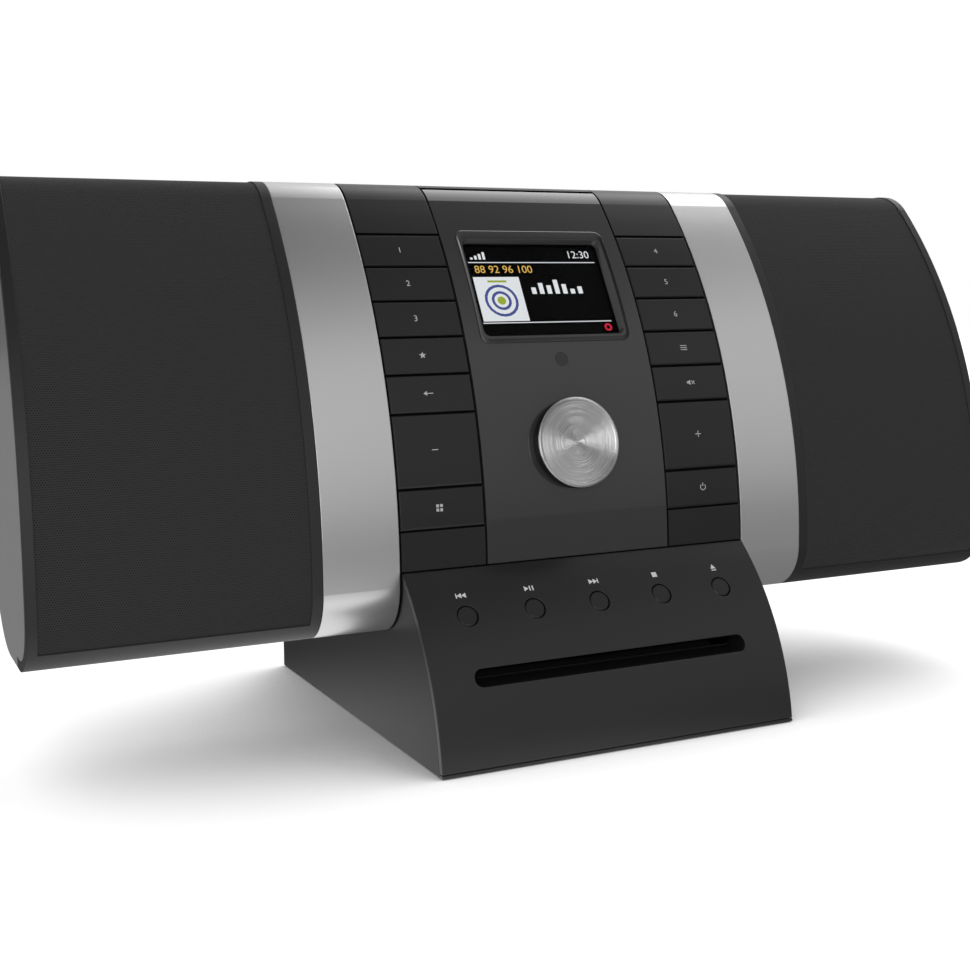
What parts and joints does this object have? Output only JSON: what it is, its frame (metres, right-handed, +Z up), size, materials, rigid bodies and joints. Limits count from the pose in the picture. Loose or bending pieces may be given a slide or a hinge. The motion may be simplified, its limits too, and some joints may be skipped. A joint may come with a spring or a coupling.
{
  "type": "mini hifi system",
  "caption": "Wide curved stereo with a display, a rotary knob and key columns between cloth-covered speakers, on a stand that loads discs through a slot.",
  "frame": {"origin": "centre of the bounding box's underside, on the surface that the feet stand on", "axes": "+X to the right as seen from the front, +Y to the back, +Z up"},
  "size_m": [0.445, 0.195, 0.23],
  "materials": {
    "shell_black": "fine satin",
    "key_black": "satin, lacquered",
    "fascia_gloss": "polished",
    "lens_clear": "clear, tinted",
    "display_dark": "polished",
    "inner_plastic": "moulded",
    "felt": "napped",
    "circuit_board": "solder mask",
    "connector": "moulded",
    "nickel": "plated",
    "screw_steel": "zinc plated",
    "knob_dark": "polished",
    "spun_aluminium": "spun, radial lines",
    "button_black": "satin",
    "foot_rubber": "matt",
    "silver_paint": "metallic satin lacquer",
    "grille_plastic": "satin",
    "grille_fabric": "stretched acoustic knit",
    "baffle_board": "black-edged fibreboard",
    "driver_steel": "black-coated steel and ferrite",
    "cone_paper": "pressed pulp"
  },
  "bodies": {
    "cabinet": {"centre_shell": "shell_black", "front_deck": "inner_plastic", "display_fascia": "fascia_gloss", "display_window": "lens_clear", "display_module": "display_dark", "ir_window": "display_dark", "encoder": "connector", "control_board": "circuit_board", "key_trims": "key_black", "main_board": "circuit_board", "stand_housing": "shell_black", "stand_fascia": "shell_black", "base_plate": "shell_black", "feet": "foot_rubber", "dust_seal": "felt", "button_board": "circuit_board", "cd_chassis": "inner_plastic", "disc_guide": "inner_plastic", "spindle_motor": "nickel", "power_inlet": "connector", "antenna_socket": "nickel", "screws": "screw_steel", "left_speaker_cabinet": "silver_paint", "left_grille_frame": "grille_plastic", "left_grille_cloth": "grille_fabric", "left_baffle": "baffle_board", "left_driver_basket": "driver_steel", "right_speaker_cabinet": "silver_paint", "right_grille_frame": "grille_plastic", "right_grille_cloth": "grille_fabric", "right_baffle": "baffle_board", "right_driver_basket": "driver_steel"},
    "key_1": {"key_1": "key_black"},
    "key_2": {"key_2": "key_black"},
    "key_3": {"key_3": "key_black"},
    "key_preset": {"key_preset": "key_black"},
    "key_back": {"key_back": "key_black"},
    "key_volume_down": {"key_volume_down": "key_black"},
    "key_mode": {"key_mode": "key_black"},
    "key_4": {"key_4": "key_black"},
    "key_5": {"key_5": "key_black"},
    "key_6": {"key_6": "key_black"},
    "key_menu": {"key_menu": "key_black"},
    "key_mute": {"key_mute": "key_black"},
    "key_volume_up": {"key_volume_up": "key_black"},
    "key_power": {"key_power": "key_black"},
    "knob_push": {"encoder_plunger": "inner_plastic"},
    "knob": {"knob_skirt": "knob_dark", "knob_cap": "spun_aluminium", "knob_shaft": "nickel"},
    "button_previous": {"button_previous": "button_black"},
    "button_play": {"button_play": "button_black"},
    "button_next": {"button_next": "button_black"},
    "button_stop": {"button_stop": "button_black"},
    "button_eject": {"button_eject": "button_black"},
    "left_cone": {"left_driver_cone": "cone_paper"},
    "right_cone": {"right_driver_cone": "cone_paper"},
    "roller": {"feed_roller": "foot_rubber"},
    "disc_drive": {"turntable": "inner_plastic"},
    "sled": {"laser_sled": "inner_plastic"}
  },
  "joints": [
    {"name": "key_1_press", "type": "slide", "parent": "cabinet", "child": "key_1", "axis": [0, 0.9412, -0.3377], "range_m": [0, 0.0007], "stiffness_N_per_m": 1500},
    {"name": "key_2_press", "type": "slide", "parent": "cabinet", "child": "key_2", "axis": [0, 0.9412, -0.3377], "range_m": [0, 0.0007], "stiffness_N_per_m": 1500},
    {"name": "key_3_press", "type": "slide", "parent": "cabinet", "child": "key_3", "axis": [0, 0.9412, -0.3377], "range_m": [0, 0.0007], "stiffness_N_per_m": 1500},
    {"name": "key_preset_press", "type": "slide", "parent": "cabinet", "child": "key_preset", "axis": [0, 0.9412, -0.3377], "range_m": [0, 0.0007], "stiffness_N_per_m": 1500},
    {"name": "key_back_press", "type": "slide", "parent": "cabinet", "child": "key_back", "axis": [0, 0.9412, -0.3377], "range_m": [0, 0.0007], "stiffness_N_per_m": 1500},
    {"name": "key_volume_down_press", "type": "slide", "parent": "cabinet", "child": "key_volume_down", "axis": [0, 0.9412, -0.3377], "range_m": [0, 0.0007], "stiffness_N_per_m": 1500},
    {"name": "key_mode_press", "type": "slide", "parent": "cabinet", "child": "key_mode", "axis": [0, 0.9412, -0.3377], "range_m": [0, 0.0007], "stiffness_N_per_m": 1500},
    {"name": "key_4_press", "type": "slide", "parent": "cabinet", "child": "key_4", "axis": [0, 0.9412, -0.3377], "range_m": [0, 0.0007], "stiffness_N_per_m": 1500},
    {"name": "key_5_press", "type": "slide", "parent": "cabinet", "child": "key_5", "axis": [0, 0.9412, -0.3377], "range_m": [0, 0.0007], "stiffness_N_per_m": 1500},
    {"name": "key_6_press", "type": "slide", "parent": "cabinet", "child": "key_6", "axis": [0, 0.9412, -0.3377], "range_m": [0, 0.0007], "stiffness_N_per_m": 1500},
    {"name": "key_menu_press", "type": "slide", "parent": "cabinet", "child": "key_menu", "axis": [0, 0.9412, -0.3377], "range_m": [0, 0.0007], "stiffness_N_per_m": 1500},
    {"name": "key_mute_press", "type": "slide", "parent": "cabinet", "child": "key_mute", "axis": [0, 0.9412, -0.3377], "range_m": [0, 0.0007], "stiffness_N_per_m": 1500},
    {"name": "key_volume_up_press", "type": "slide", "parent": "cabinet", "child": "key_volume_up", "axis": [0, 0.9412, -0.3377], "range_m": [0, 0.0007], "stiffness_N_per_m": 1500},
    {"name": "key_power_press", "type": "slide", "parent": "cabinet", "child": "key_power", "axis": [0, 0.9412, -0.3377], "range_m": [0, 0.0007], "stiffness_N_per_m": 1500},
    {"name": "knob_push", "type": "slide", "parent": "cabinet", "child": "knob_push", "axis": [0, 0.98, -0.1992], "range_m": [0, 0.0005], "stiffness_N_per_m": 4000},
    {"name": "knob_turn", "type": "hinge", "parent": "knob_push", "child": "knob", "pos_m": [0, -0.05569, 0.11882], "axis": [0, -0.98, 0.1992], "continuous": true},
    {"name": "button_previous_press", "type": "slide", "parent": "cabinet", "child": "button_previous", "axis": [0, 0.8002, -0.5998], "range_m": [0, 0.0008], "stiffness_N_per_m": 1200},
    {"name": "button_play_press", "type": "slide", "parent": "cabinet", "child": "button_play", "axis": [0, 0.8002, -0.5998], "range_m": [0, 0.0008], "stiffness_N_per_m": 1200},
    {"name": "button_next_press", "type": "slide", "parent": "cabinet", "child": "button_next", "axis": [0, 0.8002, -0.5998], "range_m": [0, 0.0008], "stiffness_N_per_m": 1200},
    {"name": "button_stop_press", "type": "slide", "parent": "cabinet", "child": "button_stop", "axis": [0, 0.8002, -0.5998], "range_m": [0, 0.0008], "stiffness_N_per_m": 1200},
    {"name": "button_eject_press", "type": "slide", "parent": "cabinet", "child": "button_eject", "axis": [0, 0.8002, -0.5998], "range_m": [0, 0.0008], "stiffness_N_per_m": 1200},
    {"name": "left_cone_stroke", "type": "slide", "parent": "cabinet", "child": "left_cone", "axis": [0, -0.9412, 0.3377], "range_m": [-0.0012, 0.0012], "stiffness_N_per_m": 2000},
    {"name": "right_cone_stroke", "type": "slide", "parent": "cabinet", "child": "right_cone", "axis": [0, -0.9412, 0.3377], "range_m": [-0.0012, 0.0012], "stiffness_N_per_m": 2000},
    {"name": "roller_turn", "type": "hinge", "parent": "cabinet", "child": "roller", "pos_m": [0, -0.0665, 0.02755], "axis": [1, 0, 0], "continuous": true},
    {"name": "turntable_turn", "type": "hinge", "parent": "cabinet", "child": "disc_drive", "pos_m": [0, -0.0135, 0.02865], "axis": [0, 0, 1], "continuous": true},
    {"name": "sled_travel", "type": "slide", "parent": "cabinet", "child": "sled", "axis": [0, 1, 0], "range_m": [0, 0.034]}
  ]
}
